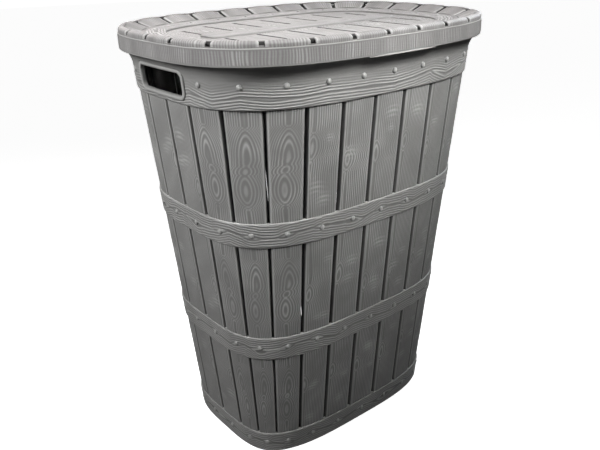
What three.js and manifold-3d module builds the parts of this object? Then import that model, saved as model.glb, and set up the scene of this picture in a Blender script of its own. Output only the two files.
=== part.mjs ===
// Laundry hamper: a tapered tub of upright staves held by riveted hoops, with a dished hinged lid.
// Millimetres, +Z up. Origin: centre of the footprint, on the floor. The long sides face -Y and +Y.
// Everything follows one plan curve, an oval that is nearly a rounded rectangle. A place on the plan is
// given by p, counted in staves anticlockwise from the middle of the front, and by an outward offset.

import * as THREE from 'three';
import { mergeVertices } from 'three/addons/utils/BufferGeometryUtils.js';
import Module from 'manifold-3d';

// ---------------------------------------------------------------- driving dimensions
const PLAN_A = 211.7; // half length of the plan curve, at the collar's lower edge
const PLAN_B = 158.0; // half width there
const PLAN_N = 3.175; // exponent of the plan curve: 2 is an ellipse, more is squarer
const STAVES = 26; // one centred on the middle of each long side and one on each corner
const FACETS = 2; // flat facets for each stave
const DRAFT = 0.0943; // the wall leans out this much for each millimetre of height
const GAP = 0.3; // clearance between pieces that touch
const SKIN_GAP = 0.3; // clearance between the staves and the hoops around them

const FOOT_LEDGE = 2.5; // thickness of the flat ring that carries the staves and the floor
const FOOT_WIDTH = 12.0;
const STAVE_T = 3.0;
const STAVE_GAP = 5.6; // slot between neighbouring staves
const STAVE_TOP = 545.0;
const FLOOR_T = 3.5;
const HOOP_T = 1.2;
const COLLAR_T = 1.8;
const BASE_HOOP = [0, 32];
const LOWER_HOOP = [161, 194.6];
const MIDDLE_HOOP = [326.4, 358.9];
const COLLAR_Z = 495.0; // lower edge of the collar, where the plan curve is measured
const COLLAR_TOP = 555.0;
const RIVET_R = 3.9;
const RIVET_H = 1.9;
const RIVET_SIDES = 6;
const COLLAR_RIVET_Z = 521.0;
const HOOP_RIVET_Z = { base: 17.5, lower: 179.8, middle: 343.5 };

const HANDLE_P = [6.5, 19.5]; // middle of each short side
const HANDLE_HALF = 46; // half length of the hand opening
const HANDLE_Z = [504.5, 530.5];
const HANDLE_R = 6; // corner radius of the hand opening
const HANDLE_FRAME = 5; // width of the frame around it
const HANDLE_OUT = 2.0; // how far the frame stands out of the collar

const LID_OUT = 19.5; // offset of the lid's skirt from the plan curve
const SKIRT_Z = [543.5, 563.0];
const SKIRT_T = 3.0;
const RIM_TOP = 570.8;
const RIM_CREST = 13.0; // where the rim is highest
const RIM_INNER = -13.5; // the rim slopes down to here
const RIM_SLOT_IN = -9.5;
const RIM_SLOT_W = 5.4;
const RIM_SLOT_Z = 564.3;
const RING_IN = -40.0; // inner edge of the riveted oval band
const RING_TOP = 561.2;
const RING_RIVET = -23.5;
const RING_RIVET_H = 1.3;
const PANEL_Z = [555.6, 558.8];
const PANEL_SLOT_W = 3.4;
const PANEL_SLOT_Y = [24, 98];
const PANEL_SLOTS = 7; // in each of the two rows
const PANEL_SLOT_STEP = 46.6;
const CENTRE_BAND = [153, 19, 1.5]; // half length, half width, height of the band along the middle
const LIP = [53, 1.6, 3.2]; // half width, depth and thickness of the finger lift

const HINGE_X = 58; // middle of each hinge
const HINGE_OFF = 15.0; // hinge axis, measured out from the plan curve at the back
const HINGE_Z = 534.5;
const PIN_R = 2.4;
const KNUCKLE_R = 4.0;
const EAR_W = 20;
const CHEEK_W = 4;
const FORK_ROOM = 1.7; // under the knuckle, so that the ear swings clear of the fork when the lid is open

const wasm = await Module();
wasm.setup();

// ---------------------------------------------------------------- plan curve
const QUARTER = 4000;
const quarter = [];
for (let i = 0, length = 0; i <= QUARTER; i++) {
  const t = (Math.PI / 2) * (i / QUARTER);
  const x = PLAN_A * Math.sin(t) ** (2 / PLAN_N);
  const y = PLAN_B * Math.cos(t) ** (2 / PLAN_N);
  const n = new THREE.Vector2((x / PLAN_A) ** (PLAN_N - 1) / PLAN_A, (y / PLAN_B) ** (PLAN_N - 1) / PLAN_B);
  if (i) length += Math.hypot(x - quarter[i - 1].x, y - quarter[i - 1].y);
  quarter.push({ x, y, n: n.normalize(), length });
}
const QUARTER_LENGTH = quarter[QUARTER].length;
const PITCH = (4 * QUARTER_LENGTH) / STAVES; // one stave and one slot, along the plan curve

function curvePoint(p, offset) {
  const turn = (((p / STAVES) % 1) + 1) % 1;
  const leg = Math.floor(turn * 4);
  const part = turn * 4 - leg;
  const s = (leg % 2 ? 1 - part : part) * QUARTER_LENGTH;
  let low = 0;
  let high = QUARTER;
  while (high - low > 1) {
    const mid = (low + high) >> 1;
    if (quarter[mid].length < s) low = mid;
    else high = mid;
  }
  const a = quarter[low];
  const b = quarter[high];
  const f = (s - a.length) / (b.length - a.length);
  const x = a.x + (b.x - a.x) * f + offset * (a.n.x + (b.n.x - a.n.x) * f);
  const y = a.y + (b.y - a.y) * f + offset * (a.n.y + (b.n.y - a.n.y) * f);
  return new THREE.Vector2(leg === 0 || leg === 1 ? x : -x, leg === 0 || leg === 3 ? -y : y);
}

// The same place on the faceted plan, so that every piece shares the same flat facets.
function plan(p, offset) {
  const i = Math.floor(p * FACETS);
  const f = p * FACETS - i;
  return curvePoint(i / FACETS, offset).lerp(curvePoint((i + 1) / FACETS, offset), f);
}

const wall = (z) => DRAFT * (z - COLLAR_Z); // offset of the staves' outer face at height z

// ---------------------------------------------------------------- solids
function toGeometry(points, triangles) {
  const geometry = new THREE.BufferGeometry();
  geometry.setAttribute('position', new THREE.Float32BufferAttribute(points.flat(), 3));
  geometry.setIndex(triangles.flat());
  return geometry;
}

function toManifold(geometry) {
  const bare = geometry.clone();
  bare.deleteAttribute('normal');
  bare.deleteAttribute('uv');
  const merged = mergeVertices(bare, 1e-4);
  const index = merged.index.array;
  const triangles = [];
  for (let i = 0; i < index.length; i += 3) {
    const [a, b, c] = [index[i], index[i + 1], index[i + 2]];
    if (a !== b && b !== c && c !== a) triangles.push(a, b, c);
  }
  return new wasm.Manifold(new wasm.Mesh({
    numProp: 3,
    vertProperties: new Float32Array(merged.attributes.position.array),
    triVerts: new Uint32Array(triangles),
  }));
}

function fromManifold(solid) {
  const mesh = solid.getMesh();
  const geometry = new THREE.BufferGeometry();
  geometry.setAttribute('position', new THREE.BufferAttribute(new Float32Array(mesh.vertProperties), 3));
  geometry.setIndex(new THREE.BufferAttribute(new Uint32Array(mesh.triVerts), 1));
  return geometry;
}

// A ring that carries a closed section [offset, z] right round the plan.
function ring(section) {
  const count = STAVES * FACETS;
  const size = section.length;
  const points = [];
  const triangles = [];
  for (let i = 0; i < count; i++) {
    for (const [offset, z] of section) {
      const { x, y } = curvePoint(i / FACETS, offset);
      points.push([x, y, z]);
    }
  }
  for (let i = 0; i < count; i++) {
    const next = (i + 1) % count;
    for (let j = 0; j < size; j++) {
      const k = (j + 1) % size;
      const [a, b, c, d] = [i * size + j, next * size + j, next * size + k, i * size + k];
      triangles.push([a, b, c], [a, c, d]);
    }
  }
  return toGeometry(points, triangles);
}

// A flat plate whose edge follows the plan, from [offset, z] at the bottom to [offset, z] at the top.
function plate([lowOffset, lowZ], [highOffset, highZ]) {
  const count = STAVES * FACETS;
  const points = [];
  const triangles = [];
  const low = [];
  for (let i = 0; i < count; i++) low.push(curvePoint(i / FACETS, lowOffset));
  for (const { x, y } of low) points.push([x, y, lowZ]);
  for (let i = 0; i < count; i++) {
    const { x, y } = curvePoint(i / FACETS, highOffset);
    points.push([x, y, highZ]);
  }
  for (const [a, b, c] of THREE.ShapeUtils.triangulateShape(low, [])) {
    triangles.push([c, b, a], [a + count, b + count, c + count]);
  }
  for (let i = 0; i < count; i++) {
    const next = (i + 1) % count;
    triangles.push([i, next, next + count], [i, next + count, i + count]);
  }
  return toGeometry(points, triangles);
}

// A thin board bent to the facets of the wall, from stave position p0 to p1 and height z0 to z1.
function board(p0, p1, z0, z1, thickness) {
  const stops = [p0];
  for (let i = Math.floor(p0 * FACETS) + 1; i < p1 * FACETS; i++) stops.push(i / FACETS);
  stops.push(p1);
  const points = [];
  for (const p of stops) {
    for (const [z, depth] of [[z0, 0], [z1, 0], [z1, thickness], [z0, thickness]]) {
      const { x, y } = plan(p, wall(z) - depth);
      points.push([x, y, z]);
    }
  }
  const last = (stops.length - 1) * 4;
  const triangles = [[0, 1, 2], [0, 2, 3], [last, last + 2, last + 1], [last, last + 3, last + 2]];
  for (let i = 0; i < last; i += 4) {
    for (let j = 0; j < 4; j++) {
      const k = (j + 1) % 4;
      triangles.push([i + j, i + 4 + j, i + 4 + k], [i + j, i + 4 + k, i + k]);
    }
  }
  return toGeometry(points, triangles);
}

// Moves a geometry that is modelled with +X outward and +Z up to its place on the plan.
function onWall(geometry, p, offset, z, lean = 0) {
  const along = plan(p + 0.02, offset).sub(plan(p - 0.02, offset));
  const place = plan(p, offset);
  return geometry
    .applyMatrix4(new THREE.Matrix4().makeRotationY(lean))
    .applyMatrix4(new THREE.Matrix4().makeRotationZ(Math.atan2(along.y, along.x) - Math.PI / 2))
    .applyMatrix4(new THREE.Matrix4().makeTranslation(place.x, place.y, z));
}

// A low stud whose base is sunk a little into the wall behind it.
function rivet(p, offset, z) {
  const stud = new THREE.ConeGeometry(RIVET_R, RIVET_H + 0.8, RIVET_SIDES);
  stud.applyMatrix4(new THREE.Matrix4().makeRotationZ(-Math.PI / 2));
  stud.applyMatrix4(new THREE.Matrix4().makeTranslation((RIVET_H - 0.8) / 2, 0, 0));
  return toManifold(onWall(stud, p, offset, z, Math.atan(DRAFT)));
}

function roundedRectangle(width, height, radius, centreY) {
  const [x, y] = [-width / 2, centreY - height / 2];
  const shape = new THREE.Shape();
  shape.moveTo(x + radius, y).lineTo(x + width - radius, y);
  shape.absarc(x + width - radius, y + radius, radius, -Math.PI / 2, 0);
  shape.lineTo(x + width, y + height - radius);
  shape.absarc(x + width - radius, y + height - radius, radius, 0, Math.PI / 2);
  shape.lineTo(x + radius, y + height);
  shape.absarc(x + radius, y + height - radius, radius, Math.PI / 2, Math.PI);
  shape.lineTo(x, y + radius);
  shape.absarc(x + radius, y + radius, radius, Math.PI, Math.PI * 1.5);
  return shape;
}

// Extrudes a shape drawn in Y (across) and Z (up) along X, from x0 to x1.
function alongX(shape, x0, x1) {
  const geometry = new THREE.ExtrudeGeometry(shape, { depth: x1 - x0, bevelEnabled: false, curveSegments: 4 });
  const basis = new THREE.Matrix4().makeBasis(
    new THREE.Vector3(0, 1, 0), new THREE.Vector3(0, 0, 1), new THREE.Vector3(1, 0, 0));
  return geometry.applyMatrix4(basis).applyMatrix4(new THREE.Matrix4().makeTranslation(x0, 0, 0));
}

function block(x0, x1, y0, y1, z0, z1) {
  return new THREE.BoxGeometry(x1 - x0, y1 - y0, z1 - z0)
    .applyMatrix4(new THREE.Matrix4().makeTranslation((x0 + x1) / 2, (y0 + y1) / 2, (z0 + z1) / 2));
}

// ---------------------------------------------------------------- materials and tree
const plastic = (color, roughness) => new THREE.MeshStandardMaterial({ color, roughness, metalness: 0 });
const LOOK = {
  stave: () => plastic(0x868686, 0.62),
  hoop: () => plastic(0x7e7e7e, 0.58),
  floor: () => plastic(0x7a7a7a, 0.65),
  lid: () => plastic(0xa9a8a6, 0.55),
  trim: () => plastic(0x8f8f8f, 0.5),
};

const hamper = new THREE.Group();
const tub = new THREE.Group();
const hingeY = PLAN_B + HINGE_OFF;
const lid = new THREE.Group(); // turns about its own X axis, which is the hinge line
lid.position.set(0, hingeY, HINGE_Z);
hamper.add(tub, lid);

function place(group, name, geometry, look) {
  const mesh = new THREE.Mesh(geometry, look());
  mesh.name = name;
  if (group === lid) mesh.position.set(0, -hingeY, -HINGE_Z);
  group.add(mesh);
}

// ---------------------------------------------------------------- tub
const staveHalf = 0.5 - STAVE_GAP / PITCH / 2;
const shortened = new Set(HANDLE_P.flatMap((p) => [p - 0.5, p + 0.5])); // staves under the hand openings
const frameLow = HANDLE_Z[0] - HANDLE_FRAME;
const frameHigh = HANDLE_Z[1] + HANDLE_FRAME;
for (let k = 0; k < STAVES; k++) {
  const top = shortened.has(k) ? frameLow - 1 : STAVE_TOP;
  const name = `stave_${String(k + 1).padStart(2, '0')}`;
  place(tub, name, board(k - staveHalf, k + staveHalf, FOOT_LEDGE + GAP, top, STAVE_T), LOOK.stave);
}

const floorLow = FOOT_LEDGE + GAP;
const floorHigh = floorLow + FLOOR_T;
const floorEdge = (z) => wall(z) - STAVE_T - SKIN_GAP;
place(tub, 'floor_pan', plate([floorEdge(floorLow), floorLow], [floorEdge(floorHigh), floorHigh]), LOOK.floor);

function hoopSection(z0, z1) {
  const inner = (z) => wall(z) + SKIN_GAP;
  return [[inner(z0) + HOOP_T, z0], [inner(z1) + HOOP_T, z1], [inner(z1), z1], [inner(z0), z0]];
}

function riveted(section, rivetZ, thickness = HOOP_T, skip = new Set()) {
  let solid = toManifold(ring(section));
  for (let k = 0; k < STAVES; k++) {
    if (!skip.has(k)) solid = solid.add(rivet(k, wall(rivetZ) + SKIN_GAP + thickness, rivetZ));
  }
  return solid;
}

place(tub, 'base_hoop', fromManifold(riveted(hoopSection(...BASE_HOOP), HOOP_RIVET_Z.base)), LOOK.hoop);
const footOut = SKIN_GAP - GAP;
place(tub, 'foot_ring', ring([
  [wall(0) + footOut, 0], [wall(FOOT_LEDGE) + footOut, FOOT_LEDGE],
  [wall(0) - FOOT_WIDTH, FOOT_LEDGE], [wall(0) - FOOT_WIDTH, 0],
]), LOOK.floor);
place(tub, 'lower_hoop', fromManifold(riveted(hoopSection(...LOWER_HOOP), HOOP_RIVET_Z.lower)), LOOK.hoop);
place(tub, 'middle_hoop', fromManifold(riveted(hoopSection(...MIDDLE_HOOP), HOOP_RIVET_Z.middle)), LOOK.hoop);

// Collar: drafted band, a flare under the lid, and a flange that covers the staves' ends.
const face = (z) => wall(z) + SKIN_GAP + COLLAR_T;
const flangeOut = LID_OUT - SKIRT_T - 1.5;
const flare = [[face(526), 526], [face(536) + 2.4, 536], [flangeOut, 546]];
const collarSection = [
  [face(COLLAR_Z), COLLAR_Z], ...flare, [flangeOut, COLLAR_TOP], [1.2, COLLAR_TOP],
  [1.2, STAVE_TOP + GAP],
  [wall(STAVE_TOP) + SKIN_GAP, STAVE_TOP + GAP], [wall(COLLAR_Z) + SKIN_GAP, COLLAR_Z],
];
let collar = riveted(collarSection, COLLAR_RIVET_Z, COLLAR_T, shortened);

// Hand openings: the collar is cut for a frame that lines each opening and stands out a little.
const frameMid = (HANDLE_Z[0] + HANDLE_Z[1]) / 2;
const handleShape = (margin) => roundedRectangle(
  2 * (HANDLE_HALF + margin), HANDLE_Z[1] - HANDLE_Z[0] + 2 * margin, HANDLE_R + margin * 0.6, frameMid);
const frameBand = toManifold(ring([
  [face(490) + HANDLE_OUT, 490], [face(545) + HANDLE_OUT, 545],
  [wall(545) - 1.5, 545], [wall(490) - 1.5, 490],
]));
for (const side of [1, -1]) {
  const x0 = side > 0 ? PLAN_A - 40 : -PLAN_A - 40;
  const cut = (margin) => toManifold(alongX(handleShape(margin), x0, x0 + 80));
  collar = collar.subtract(cut(HANDLE_FRAME + GAP));
  const frame = frameBand.intersect(cut(HANDLE_FRAME)).subtract(cut(0));
  place(tub, side > 0 ? 'handle_frame_right' : 'handle_frame_left', fromManifold(frame), LOOK.trim);
}
place(tub, 'collar', fromManifold(collar), LOOK.hoop);

// Hinge brackets: a block on the collar's back, forked for the lid's ear, with a pin across the fork.
const collarSkin = toManifold(ring([
  [face(COLLAR_Z - 20) + GAP, COLLAR_Z - 20], ...flare.map(([offset, z]) => [offset + GAP, z - GAP]),
  [flangeOut + GAP, COLLAR_TOP + GAP], [-30, COLLAR_TOP + GAP], [-30, COLLAR_Z - 20],
]));
const pinLength = EAR_W + 2 * CHEEK_W + 1;
for (const [name, x] of [['left', -HINGE_X], ['right', HINGE_X]]) {
  const half = pinLength / 2;
  const back = hingeY - 20;
  const forkHalf = EAR_W / 2 + 0.5;
  const bore = new THREE.CylinderGeometry(PIN_R + GAP, PIN_R + GAP, pinLength + 4, 16);
  bore.applyMatrix4(new THREE.Matrix4().makeRotationZ(Math.PI / 2));
  bore.applyMatrix4(new THREE.Matrix4().makeTranslation(x, hingeY, HINGE_Z));
  const bracket = toManifold(block(x - half, x + half, back, hingeY + KNUCKLE_R, HINGE_Z - 9, HINGE_Z + 4.5))
    .subtract(toManifold(block(x - forkHalf, x + forkHalf, hingeY - KNUCKLE_R - 0.6, hingeY + 20,
      HINGE_Z - KNUCKLE_R - FORK_ROOM, HINGE_Z + 20)))
    .subtract(collarSkin)
    .subtract(toManifold(bore));
  place(tub, `hinge_bracket_${name}`, fromManifold(bracket), LOOK.trim);

  const pin = new THREE.CylinderGeometry(PIN_R, PIN_R, pinLength, 16);
  pin.applyMatrix4(new THREE.Matrix4().makeRotationZ(Math.PI / 2));
  pin.applyMatrix4(new THREE.Matrix4().makeTranslation(x, hingeY, HINGE_Z));
  place(tub, `hinge_pin_${name}`, pin, LOOK.trim);

  // The ear hangs from the skirt's lower edge and wraps the pin.
  const knuckle = new THREE.CylinderGeometry(KNUCKLE_R, KNUCKLE_R, EAR_W, 20);
  knuckle.applyMatrix4(new THREE.Matrix4().makeRotationZ(Math.PI / 2));
  knuckle.applyMatrix4(new THREE.Matrix4().makeTranslation(x, hingeY, HINGE_Z));
  const neckLow = hingeY + 1.0;
  const ear = toManifold(knuckle)
    .add(toManifold(block(x - EAR_W / 2, x + EAR_W / 2, neckLow, hingeY + KNUCKLE_R - 0.1,
      HINGE_Z, SKIRT_Z[0] - GAP)))
    .subtract(toManifold(bore));
  place(lid, `lid_ear_${name}`, fromManifold(ear), LOOK.lid);
}

// ---------------------------------------------------------------- lid
const skirtIn = LID_OUT - SKIRT_T;
const ledge = COLLAR_TOP + GAP; // the lid rests on the collar here
place(lid, 'lid_skirt', ring([
  [LID_OUT, SKIRT_Z[0]], [LID_OUT, SKIRT_Z[1]], [skirtIn, SKIRT_Z[1]], [skirtIn, ledge + 2.7],
  [4, ledge + 2.7], [4, ledge], [skirtIn, ledge], [skirtIn, SKIRT_Z[0]],
]), LOOK.lid);

// Rim: a short upright band that rolls over and slopes down into the dish, slotted at every joint.
const rimOut = LID_OUT - 0.7;
const rimLow = SKIRT_Z[1] + GAP;
const rimSlope = (offset) => {
  const climb = (offset - RIM_INNER) / (RIM_CREST - RIM_INNER);
  return RING_TOP + (RIM_TOP - RING_TOP) * climb ** 1.15;
};
let rim = toManifold(ring([
  [rimOut, rimLow], [rimOut, RIM_TOP - 3], [rimOut - 1.6, RIM_TOP - 0.9], [RIM_CREST, RIM_TOP],
  [0, rimSlope(0)], [RIM_INNER, RING_TOP], [RIM_INNER, RING_TOP - 2.4], [RIM_CREST, RIM_TOP - 3],
  [rimOut - 2.8, rimLow],
]));
const slotSide = new THREE.Shape([
  [RIM_SLOT_IN, 550], [rimOut - 3.4, 550], [rimOut - 3.4, RIM_SLOT_Z], [rimOut + 5, RIM_SLOT_Z],
  [rimOut + 5, 590], [RIM_SLOT_IN, 590],
].map(([x, y]) => new THREE.Vector2(x, y)));
for (let k = 0; k < STAVES; k++) {
  const slot = new THREE.ExtrudeGeometry(slotSide, { depth: RIM_SLOT_W, bevelEnabled: false });
  slot.applyMatrix4(new THREE.Matrix4().makeTranslation(0, 0, -RIM_SLOT_W / 2));
  slot.applyMatrix4(new THREE.Matrix4().makeRotationX(Math.PI / 2));
  const p = k + 0.5;
  const here = curvePoint(p, 0);
  const out = curvePoint(p, 10).sub(here);
  slot.applyMatrix4(new THREE.Matrix4().makeRotationZ(Math.atan2(out.y, out.x)));
  slot.applyMatrix4(new THREE.Matrix4().makeTranslation(here.x, here.y, 0));
  rim = rim.subtract(toManifold(slot));
}
place(lid, 'lid_rim', fromManifold(rim), LOOK.lid);

// Riveted oval band between the rim and the slatted panel.
const ringOut = RIM_INNER - GAP;
let band = toManifold(ring([
  [ringOut, PANEL_Z[0]], [ringOut, RING_TOP], [RING_IN, RING_TOP - 0.6], [RING_IN, PANEL_Z[0]],
]));
for (let k = 0; k < STAVES; k++) {
  const stud = new THREE.ConeGeometry(RIVET_R * 0.8, RING_RIVET_H + 1, RIVET_SIDES);
  stud.applyMatrix4(new THREE.Matrix4().makeRotationX(Math.PI / 2));
  const here = plan(k, RING_RIVET);
  const height = RING_TOP - 0.3 + (RING_RIVET_H - 1) / 2;
  stud.applyMatrix4(new THREE.Matrix4().makeTranslation(here.x, here.y, height));
  band = band.add(toManifold(stud));
}
place(lid, 'lid_ring_band', fromManifold(band), LOOK.lid);

// Slatted panel: two rows of slots either side of a band along the middle.
let panel = toManifold(plate([RING_IN - GAP, PANEL_Z[0]], [RING_IN - GAP, PANEL_Z[1]]));
for (let i = 0; i < PANEL_SLOTS; i++) {
  const x = (i - (PANEL_SLOTS - 1) / 2) * PANEL_SLOT_STEP;
  const end = Math.abs(i - (PANEL_SLOTS - 1) / 2) > 2.5 ? PANEL_SLOT_Y[1] - 24 : PANEL_SLOT_Y[1];
  for (const side of [1, -1]) {
    const [y0, y1] = side > 0 ? [PANEL_SLOT_Y[0], end] : [-end, -PANEL_SLOT_Y[0]];
    panel = panel.subtract(toManifold(block(
      x - PANEL_SLOT_W / 2, x + PANEL_SLOT_W / 2, y0, y1, PANEL_Z[0] - 5, PANEL_Z[1] + 5)));
  }
}
place(lid, 'lid_panel', fromManifold(panel), LOOK.lid);

const [bandX, bandY, bandH] = CENTRE_BAND;
const centreShape = roundedRectangle(2 * bandX, 2 * bandY, 14, 0);
const centreBand = new THREE.ExtrudeGeometry(centreShape, {
  depth: bandH, bevelEnabled: false, curveSegments: 4,
});
centreBand.applyMatrix4(new THREE.Matrix4().makeTranslation(0, 0, PANEL_Z[1] + GAP));
place(lid, 'lid_centre_band', centreBand, LOOK.lid);

// Finger lift: a lip under the middle of the front skirt.
const [lipHalf, lipDepth, lipT] = LIP;
const lipP = lipHalf / PITCH;
const lipStops = [-lipP, -0.5, 0, 0.5, lipP];
const lipPoints = [];
const lipLow = SKIRT_Z[0] - GAP - lipDepth;
for (const [i, p] of lipStops.entries()) {
  const thin = i === 0 || i === lipStops.length - 1 ? 0.8 : 0;
  for (const [offset, z] of [
    [LID_OUT - 0.3, lipLow + thin], [LID_OUT - 0.3, lipLow + lipDepth],
    [LID_OUT - lipT, lipLow + lipDepth], [LID_OUT - lipT, lipLow + thin],
  ]) {
    const { x, y } = plan(p, offset);
    lipPoints.push([x, y, z]);
  }
}
const lipTriangles = [[0, 1, 2], [0, 2, 3], [16, 18, 17], [16, 19, 18]];
for (let i = 0; i < 16; i += 4) {
  for (let j = 0; j < 4; j++) {
    const k = (j + 1) % 4;
    lipTriangles.push([i + j, i + 4 + j, i + 4 + k], [i + j, i + 4 + k, i + k]);
  }
}
place(lid, 'finger_lift', toGeometry(lipPoints, lipTriangles), LOOK.lid);

export default hamper;
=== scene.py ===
"""Laundry hamper: a tapered tub of grained staves and riveted hoops with a dished, slotted lid.

Every piece is a surface worked out on the hamper's plan curve, in metres, in the frame of the solid model.
A place on the plan is p, counted in staves anticlockwise from the middle of the front, and an outward offset.
"""

import itertools
import math

import bpy
import numpy as np
from mathutils import Matrix


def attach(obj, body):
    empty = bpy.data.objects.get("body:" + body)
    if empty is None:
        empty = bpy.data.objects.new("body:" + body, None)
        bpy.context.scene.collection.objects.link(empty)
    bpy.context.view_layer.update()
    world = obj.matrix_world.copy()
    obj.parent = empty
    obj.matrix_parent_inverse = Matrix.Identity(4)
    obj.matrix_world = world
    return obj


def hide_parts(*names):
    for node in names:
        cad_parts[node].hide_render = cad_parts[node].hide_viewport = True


bl_info = {
    "name": "Coopered laundry hamper",
    "version": (1, 0, 0),
    "blender": (4, 5, 0),
    "location": "View3D > Sidebar > Hamper",
    "description": "Builds a laundry hamper of grained staves, riveted hoops and a slotted lid",
    "category": "Add Mesh",
}

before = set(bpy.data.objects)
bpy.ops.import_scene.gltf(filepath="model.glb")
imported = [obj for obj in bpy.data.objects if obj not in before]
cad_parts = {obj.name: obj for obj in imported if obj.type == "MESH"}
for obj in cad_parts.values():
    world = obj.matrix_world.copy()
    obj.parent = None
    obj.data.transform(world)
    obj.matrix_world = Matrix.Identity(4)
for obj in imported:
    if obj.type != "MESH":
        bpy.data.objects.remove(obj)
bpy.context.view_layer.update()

PLAN_A, PLAN_B, PLAN_N = 0.2117, 0.1580, 3.175  # half length, half width and squareness of the plan
STAVES = 26
DRAFT = 0.0943  # the wall leans out by this much of its height
COLLAR_Z = 0.495  # the plan curve is the outline of the staves at this height
SKIN = 0.0003  # clearance between staves and hoops
LID_OUT = 0.0195  # the lid's skirt stands this far out of the plan curve
HANDLES = (6.5, 19.5)  # middle of each short side
TAU = 2 * math.pi
FOOT = 0.0028  # the staves and the floor stand this high
EDGE = 0.0006  # rounding of the edges of hoops and collar
PLUG = 0.0034  # thickness of the blocks behind the hoops
LEVEL = 0.45  # relief of a plain face: grooves and slots below it take painted shade, ridges and edges above it a painted highlight
AROUND = 624  # columns round a grained ring
PLAIN_AROUND = 312  # columns round a plain ring
ROWS = 54  # rows of points up the face of a hoop
CREASE = math.radians(52)  # faces that meet at a sharper angle keep a hard edge
CARRIER = {  # the body and the material slot of each finish
    "stave_finish": ("tub", "stave_plastic"),
    "hoop_finish": ("tub", "hoop_plastic"),
    "rivet_finish": ("tub", "hoop_plastic"),
    "trim_finish": ("tub", "trim_plastic"),
    "floor_finish": ("tub", "floor_plastic"),
    "lid_finish": ("lid", "lid_plastic"),
    "lid_rivet_finish": ("lid", "lid_plastic"),
}


# ---------------------------------------------------------------- plan curve
def quarter_curve(count=4001):
    """x = A sin(t)^(2/n), y = B cos(t)^(2/n), with its unit normal and its length so far."""
    t = np.linspace(0, np.pi / 2, count)
    x = PLAN_A * np.sin(t) ** (2 / PLAN_N)
    y = PLAN_B * np.cos(t) ** (2 / PLAN_N)
    nx = (x / PLAN_A) ** (PLAN_N - 1) / PLAN_A
    ny = (y / PLAN_B) ** (PLAN_N - 1) / PLAN_B
    size = np.hypot(nx, ny)
    length = np.concatenate([[0], np.cumsum(np.hypot(np.diff(x), np.diff(y)))])
    return x, y, nx / size, ny / size, length


CURVE = quarter_curve()
PITCH = 4 * CURVE[4][-1] / STAVES  # one stave and one slot, along the plan curve


def plan(p, offset):
    """The plan curve at stave position p, moved out along its normal: x and y as arrays."""
    x, y, nx, ny, length = CURVE
    turn = np.mod(np.asarray(p, float) / STAVES, 1.0) * 4
    leg = np.floor(turn)
    part = turn - leg
    s = np.where(leg % 2 == 1, 1 - part, part) * length[-1]
    px = np.interp(s, length, x) + offset * np.interp(s, length, nx)
    py = np.interp(s, length, y) + offset * np.interp(s, length, ny)
    return np.where(leg < 2, px, -px), np.where((leg == 0) | (leg == 3), -py, py)


def wall(z):
    """Offset of the staves' outer face: the height above the collar's edge times the draft."""
    return DRAFT * (z - COLLAR_Z)


def stacked(*arrays):
    """Arrays of shapes that fit one another, side by side along a new last axis."""
    return np.stack(np.broadcast_arrays(*arrays), -1)


def smooth(low, high, value):
    """Smooth step from 0 at low to 1 at high: t squared times (3 - 2t)."""
    t = np.clip((value - low) / (high - low), 0, 1)
    return t * t * (3 - 2 * t)


# ---------------------------------------------------------------- embossed grain
def drift(across, along, rng, size):
    """Slow wander of the grain: a sum of six sines of mixed direction and wavelength."""
    total = np.zeros(np.broadcast(across, along).shape)
    for _ in range(6):
        wave_a, wave_b = rng.uniform(0.02, 0.07), rng.uniform(0.05, 0.2)
        turns = across / wave_a * rng.choice([-0.5, 0.5]) + along / wave_b
        total = total + np.sin(TAU * turns + rng.uniform(0, TAU))
    return size * total / 6


def grain(across, along, heart, lobes, spacing, rng, sharp=2.0, wander=0.35, core=0.5):
    """Growth lines round knots, from 0 in a groove to 1 on a ridge.

    F = sqrt((across - heart)^2 + e^2) - W, where W is the sum of w (1 - |t|^2)^q over the lobes and t is the
    distance along from a lobe's middle over its reach. Ridges lie where F is a whole number of spacings, so
    they run straight, swing round every lobe and close into ovals inside it, where they are further apart.
    A lobe is pointed ahead, where q is larger, and round behind. e is the core, given in spacings. It rounds
    the tips of the ovals.
    """
    middle = np.interp(along, [place[0] for place in heart], [place[1] for place in heart])
    swell = np.zeros(np.broadcast(across, along).shape)
    for knot in lobes:
        ahead = along > knot["along"]
        t = np.abs(along - knot["along"]) / np.where(ahead, knot["ahead"], knot["behind"])
        swell = swell + knot["width"] * np.clip(1 - t**2, 0, 1) ** np.where(ahead, 0.85, 0.55)
    field = np.sqrt((across - middle) ** 2 + (core * spacing) ** 2) - swell
    field = np.where(field < 0, field * 0.68, field)
    lines = field / spacing + drift(across, along, rng, wander)
    return (0.5 + 0.5 * np.cos(TAU * lines)) ** sharp


def fleck(across, along, spots):
    """Short strokes that lie across the grain: a bell-shaped patch of ridges that sag at their ends."""
    total = np.zeros(np.broadcast(across, along).shape)
    for side, place, half, turn in spots:
        u, v = (across - side) / half, (along - place) / (0.8 * half)
        patch = np.exp(-(u**2 + v**2) * 1.6)
        total = total + patch * (0.5 + 0.5 * np.cos(TAU * (v * 1.6 + 0.35 * u**2 + turn))) ** 1.5
    return np.clip(total, 0, 1)


def spaced(low, high, lobes, coarse, fine):
    """Places from low to high that are closer together along the lobes."""
    fill = np.linspace(low, high, 2001)
    near = np.zeros_like(fill, bool)
    for knot in lobes:
        near |= (fill > knot["along"] - 1.1 * knot["behind"]) & (fill < knot["along"] + 1.1 * knot["ahead"])
    count = np.concatenate([[0], np.cumsum(np.diff(fill) / np.where(near[1:], fine, coarse))])
    return np.interp(np.linspace(0, count[-1], int(count[-1]) + 1), count, fill)


# ---------------------------------------------------------------- meshes
def grid(points, uv, relief, closed=(False, False), caps=False):
    """A patch: points on rows and columns, with the place on the board and its relief value, which sets the
    tone: the grain, with painted highlight above the plain level and painted shade below it.
    """
    return {"points": points, "uv": uv, "relief": relief, "closed": closed, "caps": caps}


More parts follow.
